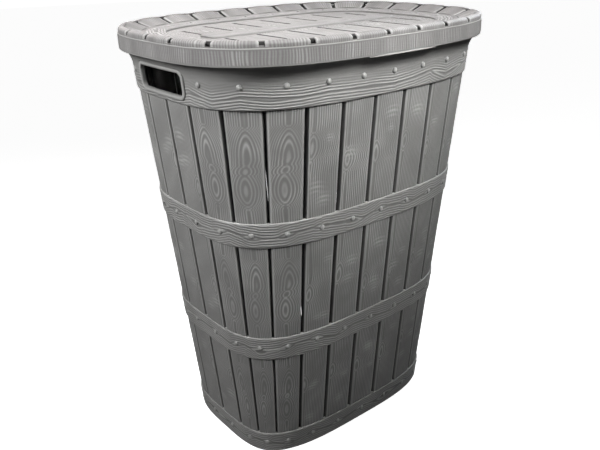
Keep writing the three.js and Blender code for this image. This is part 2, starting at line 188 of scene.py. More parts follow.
def place_piece(name, mesh, finish, replaces=()):
    """Puts a mesh in the scene with its finish, on its body and in place of its solids."""
    piece = bpy.data.objects.new(name, mesh)
    bpy.context.scene.collection.objects.link(piece)
    mesh.materials.append(bpy.data.materials[finish])
    body, slot = CARRIER[finish]
    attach(piece, body)
    if replaces:
        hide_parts(*replaces)
    return piece


def mesh_piece(name, patches, finish, replaces=()):
    """Joins patches into one closed mesh. Its faces are turned outwards by the sign of its volume."""
    verts, loops, totals, uvs, reliefs = [], [], [], [], []
    base = 0
    for patch in patches:
        rows, cols = patch["points"].shape[:2]
        wrap_r, wrap_c = patch["closed"]
        row = np.arange(rows if wrap_r else rows - 1)
        col = np.arange(cols if wrap_c else cols - 1)
        i, j = (index.ravel() for index in np.meshgrid(row, col, indexing="ij"))
        i2, j2 = (i + 1) % rows, (j + 1) % cols
        quads = stacked(i * cols + j, i * cols + j2, i2 * cols + j2, i2 * cols + j)
        uv = patch["uv"]
        place = np.stack([uv[i, j], uv[i, j + 1], uv[i + 1, j + 1], uv[i + 1, j]], 1)
        points = patch["points"].reshape(-1, 3)
        corner = points[quads]
        volume = np.einsum("ij,ij->i", corner[:, 0], np.cross(corner[:, 1], corner[:, 2])).sum()
        volume += np.einsum("ij,ij->i", corner[:, 0], np.cross(corner[:, 2], corner[:, 3])).sum()
        ends = []
        if patch["caps"]:
            ends = [np.arange(cols)[::-1], np.arange(cols) + (rows - 1) * cols]
            for end in ends:
                ring = points[end]
                middle = np.broadcast_to(ring.mean(0), ring.shape)
                volume += np.einsum("ij,ij->i", middle, np.cross(ring, np.roll(ring, -1, 0))).sum()
        if volume < 0:
            quads, place = quads[:, ::-1], place[:, ::-1]
            ends = [end[::-1] for end in ends]
        verts.append(points)
        loops.append(quads.ravel() + base)
        totals.append(np.full(len(quads), 4))
        uvs.append(place.reshape(-1, 2))
        for end in ends:
            loops.append(end + base)
            totals.append(np.array([cols]))
            uvs.append(np.zeros((cols, 2)))
        reliefs.append(np.broadcast_to(patch["relief"], (rows, cols)).ravel())
        base += len(points)
    verts, loops, totals = np.concatenate(verts), np.concatenate(loops), np.concatenate(totals)
    mesh = bpy.data.meshes.new(name)
    mesh.vertices.add(len(verts))
    mesh.vertices.foreach_set("co", verts.astype(np.float32).ravel())
    mesh.loops.add(len(loops))
    mesh.loops.foreach_set("vertex_index", loops.astype(np.int32))
    mesh.polygons.add(len(totals))
    mesh.polygons.foreach_set("loop_start", np.concatenate([[0], np.cumsum(totals)[:-1]]).astype(np.int32))
    mesh.polygons.foreach_set("loop_total", totals.astype(np.int32))
    mesh.update(calc_edges=True)
    layer = mesh.uv_layers.new(name="grain")
    layer.data.foreach_set("uv", np.concatenate(uvs).astype(np.float32).ravel())
    value = mesh.attributes.new("relief", "FLOAT", "POINT")
    value.data.foreach_set("value", np.concatenate(reliefs).astype(np.float32))
    mesh.validate()
    mesh.polygons.foreach_set("use_smooth", np.ones(len(mesh.polygons), bool))
    mesh.set_sharp_from_angle(angle=CREASE)
    return place_piece(name, mesh, finish, replaces)


def rounded_loop(half, thickness, radius, across, taper=0.0, corner=3, under=6):
    """Section of a board as a closed loop: place across from -1 to 1, depth, 1 on its outer face, and painted
    light.

    The painted light is 1 on the corners, a painted highlight on the rounded edges, and below 0 on the sides
    and the back, painted shade in the slots and behind the board.
    """
    turn = np.linspace(0, np.pi / 2, corner + 1)
    inset = radius / half
    top = np.linspace(-1 + inset, 1 - inset, across)
    right = (1 - inset + inset * np.sin(turn[1:]), -radius + radius * np.cos(turn[1:]))
    bottom = np.linspace(1, -1, under) * (1 + taper / half)
    left = (-1 + inset - inset * np.cos(turn[:-1]), -radius + radius * np.sin(turn[:-1]))
    place = np.concatenate([top, right[0], bottom, left[0]])
    depth = np.concatenate([np.zeros(across), right[1], np.full(under, -thickness), left[1]])
    face = np.concatenate([np.ones(across), np.zeros(corner + under + corner)])
    face[:across] = np.clip((1 - np.abs(top)) / (2.5 * inset) - 0.35, 0, 1)
    fall = np.linspace(1, 0.2, corner)
    # Light corners are a painted highlight; the dark sides and back are painted shade.
    painted_light = np.concatenate([1 - face[:across], fall, [-2.6], np.full(under - 2, -0.8), [-2.6], fall[::-1]])
    return place, depth, face, painted_light


def bent_board(p, half, path, thickness, radius, across, relief, crown=0.0, taper=0.0):
    """A board carried along a path of [offset, z]: plan(p + place * half, offset + depth along the normal).

    relief(place across, place along) gives the ridge height in metres and the shade of each point.
    """
    path = np.asarray(path, float)
    slope = np.gradient(path, axis=0)
    slope /= np.hypot(slope[:, 0], slope[:, 1])[:, None]
    normal = stacked(slope[:, 1], -slope[:, 0])
    run = np.concatenate([[0], np.cumsum(np.hypot(*np.diff(path, axis=0).T))])
    place, depth, face, painted_light = rounded_loop(half * PITCH, thickness, radius, across, taper)
    s, v = place[None, :] * half * PITCH, run[:, None]
    height, shade = relief(s + 0 * v, v + 0 * s)
    swell = crown * (1 - place[None, :] ** 2) * (depth > -radius * 1.01)[None, :]
    out = depth[None, :] + face[None, :] * height + swell
    offset = path[:, :1] + normal[:, :1] * out
    z = path[:, 1:] + normal[:, 1:] * out
    x, y = plan(p + place[None, :] * half + 0 * z, offset)
    uv = stacked(np.append(s[0], s[0, 0])[None, :] + p * 0.37, run[:, None])
    # The section's painted light is added to the grain tone: highlight on the edges, shade on the sides and
    # back.
    tone = LEVEL + (shade - LEVEL) * face[None, :] + 0.4 * painted_light[None, :]
    return grid(stacked(x, y, z), uv, tone, (False, True), True)


def band(section, columns, relief=None, span=None):
    """A ring, or a stretch of one: a closed section of [offset, z, face] carried round the plan.

    Points on the face are raised along the section's normal by relief(height up the face, length round).
    """
    section = np.asarray(section, float)
    around = np.roll(section, -1, 0)[:, :2] - np.roll(section, 1, 0)[:, :2]
    around /= np.maximum(np.hypot(around[:, 0], around[:, 1]), 1e-9)[:, None]
    normal = stacked(around[:, 1], -around[:, 0])
    area = np.sum(section[:, 0] * np.roll(section[:, 1], -1) - np.roll(section[:, 0], -1) * section[:, 1])
    normal *= 1 if area > 0 else -1
    p = np.arange(columns) / columns * STAVES if span is None else np.linspace(span[0], span[1], columns)
    steps = np.hypot(*np.diff(np.vstack([section, section[:1]])[:, :2], axis=0).T)
    up = np.concatenate([[0], np.cumsum(steps)])
    height, tone = 0.0, LEVEL
    if relief:
        out, up_face, run = np.broadcast_arrays(section[None, :, 0], section[None, :, 1], p[:, None] * PITCH)
        height, shade = relief(out, up_face, run)
        tone = LEVEL + (shade - LEVEL) * section[None, :, 2]
        height = height * section[None, :, 2]
    offset = section[None, :, 0] + normal[None, :, 0] * height
    z = section[None, :, 1] + normal[None, :, 1] * height
    offset, z = np.broadcast_arrays(offset, z + 0 * p[:, None])
    x, y = plan(p[:, None] + 0 * z, offset)
    ring = span is None
    along = np.append(p, STAVES) * PITCH if ring else p * PITCH
    uv = stacked(up[None, :], along[:, None])
    return grid(stacked(x, y, z), uv, np.broadcast_to(tone, z.shape), (ring, True), not ring)


def face_line(points, count):
    """Evenly spaced points along a broken line of [offset, z], with 1 for the face in the third place."""
    points = np.asarray(points, float)
    run = np.concatenate([[0], np.cumsum(np.hypot(*np.diff(points, axis=0).T))])
    at = np.linspace(0, run[-1], count)
    fade = np.clip(np.minimum(at, run[-1] - at) / 0.0012, 0, 1)
    return stacked(np.interp(at, run, points[:, 0]), np.interp(at, run, points[:, 1]), fade)


def plain(points):
    """Section points with no relief."""
    points = np.asarray(points, float)
    return np.hstack([points, np.zeros((len(points), 1))])


def domes(places, radius, height, rings=5, sides=14):
    """Low domes with a sunk skirt: height = h sqrt(1 - (r/R)^2), on the given origins, axes and normals."""
    r = np.sin(np.linspace(0, np.pi / 2, rings))
    r = np.concatenate([[0.02], r[1:], [1.0, 0.3]]) * radius
    level = np.sqrt(np.clip(1 - (r / radius) ** 2, 0, 1)) * height
    level[-2:] = -0.0012
    angle = np.arange(sides) / sides * TAU
    patches = []
    for origin, first, normal in places:
        second = np.cross(normal, first)
        round_it = np.cos(angle)[None, :, None] * first + np.sin(angle)[None, :, None] * second
        points = origin + r[:, None, None] * round_it + level[:, None, None] * normal
        uv = stacked(r[:, None], np.append(angle, TAU)[None, :] * 0.004)
        # Dome tops are lightened: a painted highlight on each rivet.
        tone = np.broadcast_to((LEVEL + 0.5 * smooth(0.2, 1.0, level / height))[:, None], (len(r), sides))
        patches.append(grid(points, uv, tone, (False, True), True))
    return patches


def wall_places(positions, offset, z):
    """Origins, level axes and outward normals on the drafted wall."""
    for p in positions:
        x, y = plan(np.array([p - 0.01, p, p + 0.01]), offset)
        along = np.array([x[2] - x[0], y[2] - y[0], 0.0])
        along /= np.linalg.norm(along)
        out = np.array([along[1], -along[0], -DRAFT])
        yield np.array([x[1], y[1], z]), along, out / np.linalg.norm(out)


def masked_plate(xs, ys, keep, low, high, relief, edge):
    """A plate over a grid of cells, with walls wherever a kept cell meets a missing one.

    Points that lie outside the edge are drawn in to it: (x, y) times edge radius over own radius.
    """
    x, y = np.meshgrid(xs, ys, indexing="ij")
    radius, angle = np.hypot(x, y), np.arctan2(y, x)
    limit = np.interp(np.mod(angle, TAU), *edge)
    pull = np.where(radius > limit, limit / np.maximum(radius, 1e-9), 1.0)
    x, y = x * pull, y * pull
    height, shade = relief(x, y)
    cols = len(ys)
    count = x.size
    verts = np.concatenate([
        stacked(x, y, high + height).reshape(-1, 3),
        stacked(x, y, np.full_like(x, low)).reshape(-1, 3),
    ])
    i, j = np.nonzero(keep)
    a, b, c, d = i * cols + j, (i + 1) * cols + j, (i + 1) * cols + j + 1, i * cols + j + 1
    quads = [stacked(a, b, c, d), stacked(a, d, c, b) + count]
    padded = np.pad(keep, 1)
    for di, dj, first, second in ((-1, 0, d, a), (1, 0, b, c), (0, -1, a, b), (0, 1, c, d)):
        open_side = ~padded[i + 1 + di, j + 1 + dj]
        f, s = first[open_side], second[open_side]
        quads.append(stacked(f + count, s + count, s, f))
    return verts, np.concatenate(quads), np.concatenate([shade.ravel(), np.full(count, 0.4)])


# ---------------------------------------------------------------- materials
def add_node(tree, kind, inputs, operation=None):
    """Adds a node and returns its first output. An input is given a value, or the socket that feeds it."""
    node = tree.nodes.new(f"ShaderNode{kind}")
    if operation:
        node.operation = operation
    for key, value in inputs.items():
        if isinstance(value, bpy.types.NodeSocket):
            tree.links.new(value, node.inputs[key])
        else:
            node.inputs[key].default_value = value
    return node.outputs[0]


def math_node(tree, operation, first, second):
    """Adds a Math node on two values or sockets and returns its output."""
    return add_node(tree, "Math", {0: first, 1: second}, operation)


def grained_finish():
    """Group for moulded grained plastic: fibres, mottling, painted shade in the grooves and a painted
    highlight on the ridges.
    """
    group = bpy.data.node_groups.new("grained_plastic", "ShaderNodeTree")
    for name, kind, value in (
        ("Place", "NodeSocketVector", None),
        ("Object place", "NodeSocketVector", None),
        ("Relief", "NodeSocketFloat", LEVEL),
        ("Tone", "NodeSocketColor", (0.2, 0.2, 0.2, 1)),
        ("Highlight tone", "NodeSocketColor", (0.3, 0.3, 0.3, 1)),
        ("Fibre", "NodeSocketFloat", 1.0),
        ("Roughness", "NodeSocketFloat", 0.5),
    ):
        socket = group.interface.new_socket(name, in_out="INPUT", socket_type=kind)
        if value is not None:
            socket.default_value = value
    for name, kind in (("Colour", "Color"), ("Roughness", "Float"), ("Normal", "Vector")):
        group.interface.new_socket(name, in_out="OUTPUT", socket_type=f"NodeSocket{kind}")
    enter, leave = group.nodes.new("NodeGroupInput"), group.nodes.new("NodeGroupOutput")
    fed = enter.outputs

    stretched = add_node(group, "VectorMath", {0: fed["Place"], 1: (900, 45, 1)}, "MULTIPLY")
    fibres = add_node(group, "TexNoise", {"Vector": stretched, "Scale": 1.0, "Detail": 4.0})
    mottle = add_node(group, "TexNoise", {"Vector": fed["Object place"], "Scale": 14.0, "Detail": 5.0})
    speck = add_node(group, "TexNoise", {"Vector": fed["Object place"], "Scale": 420.0, "Detail": 2.0})

    # Ridges and edges above the plain level mix towards the highlight tone: a painted highlight, patchy with
    # the mottling.
    span = {"From Min": 0.35, "From Max": 1.0, "To Min": 0.0, "To Max": 0.85}
    painted_light = add_node(group, "MapRange", {"Value": fed["Relief"], **span})
    mix = group.nodes.new("ShaderNodeMix")
    mix.data_type = "RGBA"
    ridge_highlight = math_node(group, "MULTIPLY", painted_light, math_node(group, "ADD", mottle, 0.35))
    for name, source in (("Factor", ridge_highlight), ("A", fed["Tone"]), ("B", fed["Highlight tone"])):
        group.links.new(source, mix.inputs[name])

    # Below the plain level the colour is darkened: painted shade in grain grooves, slot walls and hollows.
    span = {"From Min": -0.6, "From Max": 0.4, "To Min": 0.1, "To Max": 1.0}
    groove = add_node(group, "MapRange", {"Value": fed["Relief"], **span})
    patchy = math_node(group, "ADD", math_node(group, "MULTIPLY", mottle, 0.24), 0.88)
    fine = math_node(group, "ADD", math_node(group, "MULTIPLY", fibres, 0.16), 0.92)
    dim = math_node(group, "MULTIPLY", groove, math_node(group, "MULTIPLY", patchy, fine))
    shade = add_node(group, "VectorMath", {0: mix.outputs["Result"], "Scale": dim}, "SCALE")

    rough = math_node(group, "ADD", fed["Roughness"], math_node(group, "MULTIPLY", speck, 0.14))
    rough = math_node(group, "SUBTRACT", rough, math_node(group, "MULTIPLY", painted_light, 0.06))

    height = math_node(group, "MULTIPLY", fibres, fed["Fibre"])
    height = math_node(group, "ADD", height, math_node(group, "MULTIPLY", speck, 0.22))
    bump = add_node(group, "Bump", {"Strength": 0.7, "Distance": 0.0005, "Height": height})
    for name, source in (("Colour", shade), ("Roughness", rough), ("Normal", bump)):
        group.links.new(source, leave.inputs[name])
    return group


def plastic(name, tone, painted_light, fibre, roughness, group, carved=True):
    """A moulded plastic: the shared finish with its own tones, on the piece's grain map or its object."""
    material = bpy.data.materials.new(name)
    material.use_nodes = True
    tree = material.node_tree
    shader = tree.nodes["Principled BSDF"]
    shader.inputs["Specular IOR Level"].default_value = 0.45
    finish = tree.nodes.new("ShaderNodeGroup")
    finish.node_tree = group
    where = tree.nodes.new("ShaderNodeTexCoord")
    tree.links.new(where.outputs["Object"], finish.inputs["Object place"])
    if carved:
        lie = tree.nodes.new("ShaderNodeUVMap")
        lie.uv_map = "grain"
        tree.links.new(lie.outputs[0], finish.inputs["Place"])
        ridge = tree.nodes.new("ShaderNodeAttribute")
        ridge.attribute_name = "relief"
        tree.links.new(ridge.outputs["Fac"], finish.inputs["Relief"])
    else:
        tree.links.new(where.outputs["Object"], finish.inputs["Place"])
    finish.inputs["Tone"].default_value = (*tone, 1)
    finish.inputs["Highlight tone"].default_value = (*painted_light, 1)
    finish.inputs["Fibre"].default_value = fibre
    finish.inputs["Roughness"].default_value = roughness
    tree.links.new(finish.outputs["Colour"], shader.inputs["Base Color"])
    tree.links.new(finish.outputs["Roughness"], shader.inputs["Roughness"])
    tree.links.new(finish.outputs["Normal"], shader.inputs["Normal"])
    return material


# ---------------------------------------------------------------- settings
def size_setting(name, description, default, low, high):
    """A length that the user can change, in metres."""
    return bpy.props.FloatProperty(
        name=name, description=description, default=default, min=low, max=high, unit="LENGTH"
    )


def tone_setting(name, description, default):
    """A colour that the user can change."""
    return bpy.props.FloatVectorProperty(
        name=name, description=description, default=default, min=0, max=1, size=3, subtype="COLOR"
    )


class HamperSizes(bpy.types.PropertyGroup):
    """Sizes of the moulded detail."""

    slot_width: size_setting("Stave slot", "Gap between neighbouring staves", 0.0056, 0.002, 0.012)
    stave_thickness: size_setting("Stave thickness", "Thickness of a stave", 0.005, 0.001, 0.006)
    slot_taper: size_setting(
        "Slot taper", "How far a slot narrows on each side towards the inside", 0.0018, 0.0, 0.002
    )
    collar_thickness: size_setting(
        "Collar thickness", "Thickness of the collar's wall", 0.0018, 0.001, 0.005
    )
    hoop_thickness: size_setting(
        "Hoop thickness", "How far a hoop stands out of the staves", 0.0012, 0.001, 0.005
    )
    ridge: size_setting("Grain height", "Height of the embossed growth lines", 0.00055, 0.0, 0.002)
    rivet_radius: size_setting("Rivet radius", "Radius of the studs on the hoops", 0.0036, 0.001, 0.008)
    rivet_height: size_setting("Rivet height", "Height of the studs on the hoops", 0.0021, 0.0005, 0.005)
    rim_slot: size_setting("Rim slot", "Width of the slots in the lid's rim", 0.0054, 0.002, 0.01)
    panel_slot: size_setting("Panel slot", "Width of the slots in the lid's panel", 0.0034, 0.001, 0.008)


class HamperColours(bpy.types.PropertyGroup):
    """Tones of the plastic."""

    stave: tone_setting("Staves", "Tone of the staves", (0.205, 0.204, 0.2))
    hoop: tone_setting("Hoops", "Tone of the hoops and collar", (0.2, 0.199, 0.194))
    # The lid is the tub's plastic in a darker tone: painted shade against the stronger light that falls on it
    # from above.
    lid: tone_setting("Lid", "Tone of the lid", (0.166, 0.161, 0.16))
    # Tone of the painted highlight on ridges, edges, sills and rivet tops.
    painted_light: tone_setting("Painted highlight", "Tone of ridges and edges", (0.43, 0.43, 0.42))
    floor: tone_setting("Floor", "Tone of the studio floor", (0.86, 0.86, 0.86))


# ---------------------------------------------------------------- builders
TIERS = ((0.035, 0.160), (0.197, 0.325), (0.362, 0.493))  # bare stretches between the hoops
FIGURED = (4, 8, 9, 10, 17, 21, 22, 23)  # staves with large ovals


def lobe(place, width, ahead, behind):
    """A swelling of the grain round a knot: its place along the board, its width and its two reaches."""
    return {"along": place, "width": width, "ahead": ahead, "behind": behind}


def draws(rng, *spans):
    """One even draw from each span, in their order."""
    return tuple(rng.uniform(*span) for span in spans)


def stave_figure(index, rng):
    """Heart line, lobes and flecks of one stave: two large ovals in a tier, or small knots at one side."""
    heart, lobes, spots = [], [], []
    side = rng.choice([-1, 1])
    for low, high in TIERS:
        tall = high - low
        if index in FIGURED:
            lean = rng.uniform(0.001, 0.0035) * side
            bends = ((0.25, 1), (0.45, 1), (0.6, -1), (0.8, -1))
            heart += [(low + part * tall, way * lean) for part, way in bends]
            lobes.append(lobe(low + 0.31 * tall, rng.uniform(0.0165, 0.0185), 0.23 * tall, 0.18 * tall))
            lobes.append(lobe(low + 0.60 * tall, rng.uniform(0.0150, 0.0165), 0.30 * tall, 0.15 * tall))
        else:
            place = rng.uniform(low + 0.03, high - 0.04)
            heart.append((place - 0.03, side * rng.uniform(0.015, 0.021)))
            heart.append((place + 0.03, side * rng.uniform(0.013, 0.019)))
            lobes.append(lobe(place, *draws(rng, (0.008, 0.014), (0.014, 0.022), (0.010, 0.016))))
            for _ in range(rng.randint(1, 4)):
                spots.append(draws(rng, (-0.014, 0.014), (low + 0.01, high - 0.01), (0.007, 0.012), (0, 1)))
    return heart, lobes, spots


def build_staves(sizes):
    """Every stave is a bent board with growth lines that flow round its own knots."""
    half = 0.5 - sizes.slot_width / PITCH / 2
    short = {int(p + d) % STAVES for p in HANDLES for d in (-0.5, 0.5)}
    for index in range(STAVES):
        rng = np.random.RandomState(40 + index)
        heart, lobes, spots = stave_figure(index, rng)
        figured = index in FIGURED
        spacing = 0.0028 if figured else rng.uniform(0.0027, 0.0031)
        amount = sizes.ridge * (1.0 if figured else 0.8)
        top = 0.4985 if index in short else 0.545
        marked = lobes + [lobe(place, 0.0, reach, reach) for _, place, reach, _ in spots]
        z = spaced(FOOT, top, marked, 0.0042, 0.0017)

        def relief(across, along):
            across, along = np.broadcast_arrays(across, along + FOOT)
            line = grain(across, along, heart, lobes, spacing, rng, core=1.5 if figured else 0.5)
            patch = 0.75 + 0.25 * np.sin(drift(across, along, rng, 5.0))
            marks = fleck(across, along, spots)
            line = np.clip(line * patch * (1 - 0.6 * marks) + marks, 0, 1)
            return amount * line, 0.25 + 0.7 * line

        path = stacked(wall(z), z)
        board = bent_board(
            index, half, path, sizes.stave_thickness, 0.0009, 68, relief, taper=sizes.slot_taper
        )
        node = f"stave_{index + 1:02d}"
        mesh_piece(f"grained_{node}", [board], "stave_finish", [node])


def hoop_relief(middle, spacing, amount, rng, bulge=0.0016, knots=9):
    """Growth lines that run round a hoop, swing past every rivet and close into a few long ovals."""
    lobes = [lobe(k * PITCH, bulge, 0.012, 0.012) for k in range(STAVES + 1)]
    for place in rng.uniform(0, STAVES, knots):
        lobes.append(lobe(place * PITCH, *draws(rng, (0.0015, 0.0035), (0.03, 0.06), (0.02, 0.04))))
    stops = np.linspace(0, STAVES, 40) * PITCH
    sway = rng.uniform(-0.005, 0.005, 40)
    sway[-1] = sway[0]
    heart = list(zip(stops, sway))

    def relief(offset, z, along):
        line = grain(z - middle, along, heart, lobes, spacing, rng, sharp=1.7, wander=0.3)
        return amount * line, 0.25 + 0.7 * line

    return relief


def slot_plugs(low, high, skip=()):
    """Behind a hoop the slots are closed: a short block in each, its top lightened as a painted highlight on
    the sill.
    """
    plugs = []
    half = 0.0027 / PITCH
    lift, outer = 0.0004, 0.0002
    section = plain([
        [wall(low) + outer, low + lift], [wall(high) + outer, high - lift],
        [wall(high) - PLUG, high - lift], [wall(low) - PLUG, low + lift],
    ])
    for k in range(STAVES):
        if k in skip:
            continue
        plug = band(section, 4, span=(k + 0.5 - half, k + 0.5 + half))
        # The top face is lightened, a painted highlight on the sill; the lower edges are a little darkened,
        # painted shade.
        plug["relief"] = np.array([0.3, 1.25, 1.25, 0.3])[None, :]
        plugs.append(plug)
    return plugs


def build_hoop(sizes, node, low, high, rivet_z, seed):
    """A hoop is a drafted band with rounded edges, a dome at the middle of every stave, and slot plugs."""
    rng = np.random.RandomState(seed)
    outer = SKIN + sizes.hoop_thickness
    line = face_line([[wall(low + EDGE) + outer, low + EDGE], [wall(high - EDGE) + outer, high - EDGE]], ROWS)
    section = np.vstack([
        plain([[wall(low) + outer - EDGE, low]]),
        line,
        plain([
            [wall(high) + outer - 0.3 * EDGE, high - 0.3 * EDGE], [wall(high) + outer - EDGE, high],
            [wall(high) + SKIN, high], [wall(low) + SKIN, low],
        ]),
    ])
    relief = hoop_relief((low + high) / 2, 0.0033, sizes.ridge * 1.1, rng)
    ring = band(section, AROUND, relief)
    tone = ring["relief"].copy()
    # The top edge of the hoop is lightened: a painted highlight.
    tone[:, -6:-2] = 0.9
    ring["relief"] = tone
    mesh_piece(f"grained_{node}", [ring] + slot_plugs(low, high), "hoop_finish", [node])
    places = wall_places(range(STAVES), wall(rivet_z) + outer, rivet_z)
    studs = domes(places, sizes.rivet_radius, sizes.rivet_height)
    mesh_piece(f"{node}_rivets", studs, "rivet_finish")


def handle_cutter(margin):
    """A rounded block through the collar: the outline of a hand opening carried along X."""
    corner = 0.006 + margin * 0.6
    half_y, half_z, middle = 0.046 + margin, 0.013 + margin, 0.5175
    turn = np.linspace(0, np.pi / 2, 6)
    parts = []
    for quadrant, (sy, sz) in enumerate(((1, 1), (-1, 1), (-1, -1), (1, -1))):
        angle = turn + quadrant * np.pi / 2
        y = sy * (half_y - corner) + corner * np.cos(angle)
        z = middle + sz * (half_z - corner) + corner * np.sin(angle)
        parts.append(stacked(y, z))
    return np.concatenate(parts)


def build_collar(sizes):
    """The collar's section is a drafted band, a flare, a flange and a plain inner face."""
    rng = np.random.RandomState(7)
    outer = SKIN + sizes.collar_thickness
    foot, seam, rivet_z = COLLAR_Z, 0.5255, 0.521
    line = face_line([[wall(foot + EDGE) + outer, foot + EDGE], [wall(seam) + outer, seam]], ROWS)
    flare_z = np.linspace(0.5265, 0.546, 14)
    t = (flare_z - 0.526) / 0.020
    flare = plain(stacked(wall(flare_z) + outer + 0.0015 * t + 0.0065 * t**2, flare_z))
    flange = 0.015
    section = np.vstack([
        plain([[outer - EDGE, foot]]),
        line, flare,
        plain([
            [flange, 0.5475], [flange, 0.5545], [flange - 0.0006, 0.555], [0.0018, 0.555],
            [0.0012, 0.5544], [0.0012, 0.5453], [wall(0.545) + SKIN, 0.5453], [SKIN, foot],
        ]),
    ])
    low = hoop_relief(0.5075, 0.0031, sizes.ridge * 1.2, rng, bulge=0.0, knots=4)

    def relief(offset, z, along):
        height, shade = low(offset, z, along)
        fade = 1 - smooth(0.514, 0.5215, z + 0.002 * np.sin(along / 0.031))
        return height * (0.12 + 0.88 * fade), 0.4 + (shade - 0.4) * (0.25 + 0.75 * fade)

    collar = mesh_piece("grained_collar", [band(section, AROUND, relief)], "hoop_finish", ["collar"])
    outline = handle_cutter(0.0045)
    blocks = []
    for x0, x1 in ((0.18, 0.25), (-0.25, -0.18)):
        points = np.stack([np.column_stack([np.full(len(outline), x), outline]) for x in (x0, x1)])
        blocks.append(grid(points, np.zeros((2, len(outline) + 1, 2)), 0.4, (False, True), True))
    cutter = mesh_piece("collar_cutter", blocks, "hoop_finish")
    cut = collar.modifiers.new("hand openings", "BOOLEAN")
    cut.operation, cut.solver, cut.object = "DIFFERENCE", "EXACT", cutter
    graph = bpy.context.evaluated_depsgraph_get()
    mesh = bpy.data.meshes.new_from_object(collar.evaluated_get(graph))
    collar.modifiers.clear()
    collar.data = mesh
    bpy.data.objects.remove(cutter)
    near_hand = [int(h + d) for h in HANDLES for d in (-1.5, -0.5, 0.5)]
    mesh_piece("collar_slot_plugs", slot_plugs(COLLAR_Z, 0.5452, near_hand), "hoop_finish")
    kept = [p for p in range(STAVES) if min(abs(p - h) for h in HANDLES) > 0.6]
    studs = domes(wall_places(kept, wall(rivet_z) + outer, rivet_z), sizes.rivet_radius, sizes.rivet_height)
    mesh_piece("collar_rivets", studs, "rivet_finish")


def build_handles():
    """Each frame is a rounded profile carried round the outline of its hand opening, laid on the wall."""
    for name, middle in (("handle_frame_right", HANDLES[0]), ("handle_frame_left", HANDLES[1])):
        inner = handle_cutter(0.0)
        spread = []
        for a, b in zip(inner, np.roll(inner, -1, 0)):
            count = max(1, int(np.hypot(*(b - a)) / 0.004))
            spread.append(a + (b - a) * (np.arange(count) / count)[:, None])
        path = np.concatenate(spread)
        ahead = np.roll(path, -1, 0) - np.roll(path, 1, 0)
        ahead /= np.hypot(ahead[:, 0], ahead[:, 1])[:, None]
        away = stacked(ahead[:, 1], -ahead[:, 0])
        turn = np.linspace(0, np.pi, 9)
        top = 0.0041
        width = 0.0052
        profile = np.concatenate([
            stacked(width / 2 - width / 2 * np.cos(turn), top - 0.0012 + 0.0012 * np.sin(turn)),
            [[width, -0.001], [0.0, -0.001]],
        ])
        y = path[:, None, 0] + away[:, None, 0] * profile[None, :, 0]
        z = path[:, None, 1] + away[:, None, 1] * profile[None, :, 0]
        side = 1 if middle < STAVES / 2 else -1
        x_out, y_out = plan(middle + side * y / PITCH, wall(z) + profile[None, :, 1])
        points = stacked(x_out, y_out, z)
        uv = np.zeros((len(path) + 1, len(profile) + 1, 2))
        uv[..., 0] = (np.arange(len(profile) + 1) * 0.001)[None, :]
        uv[..., 1] = (np.arange(len(path) + 1) * 0.004)[:, None]
        # The crest of the frame is lightened: a painted highlight.
        tone = np.broadcast_to(np.where(profile[:, 1] > 0.0038, 0.75, 0.4)[None, :], z.shape)
        mesh_piece(f"smooth_{name}", [grid(points, uv, tone, (True, True))], "trim_finish", [name])


def build_base():
    """The foot ring is a flat ring, and the floor a plate with a rounded edge, drawn in to its middle."""
    out = -0.00005
    ring = plain([
        [wall(0) + out, 0], [wall(0.0025) + out, 0.0025], [wall(0) - 0.012, 0.0025],
        [wall(0) - 0.0125, 0.002], [wall(0) - 0.0125, 0.0],
    ])
    mesh_piece("smooth_foot_ring", [band(ring, PLAIN_AROUND)], "floor_finish", ["foot_ring"])
    p = np.arange(PLAIN_AROUND) / PLAIN_AROUND * STAVES
    rows = []
    x, y = plan(p, wall(FOOT) - 0.0034)
    below, above = FOOT, 0.0063
    for scale, z in (
        (0.02, below), (0.5, below), (1.0, below), (1.0, 0.0058),
        (0.997, above), (0.75, above), (0.5, above), (0.02, above),
    ):
        rows.append(stacked(x * scale, y * scale, np.full_like(x, z)))
    points = np.stack(rows)
    uv = np.concatenate([points[:, :, :2], points[:, :1, :2]], 1)
    pan = grid(points, uv, 0.4, (False, True), True)
    mesh_piece("smooth_floor_pan", [pan], "floor_finish", ["floor_pan"])


def rib_relief(spacing, amount, rng):
    """Fine ribs across the direction of travel, uneven in width: cosine of length over spacing plus drift."""
    phase = rng.uniform(0, TAU, 8)
    waves = rng.uniform(0.006, 0.03, 8)

    def relief(across, along):
        wobble = sum(np.sin(TAU * across / w + a) for w, a in zip(waves, phase)) * 0.16
        wobble = wobble + 0.25 * np.sin(along / 0.004 + across / 0.013)
        line = (0.5 + 0.5 * np.cos(TAU * (across / spacing) + wobble * 2.2)) ** 1.2
        strength = 0.6 + 0.4 * np.sin(across / 0.017 + phase[0]) * np.sin(across / 0.006 + phase[1])
        return amount * line * strength, 0.35 + 0.5 * line * strength

    return relief


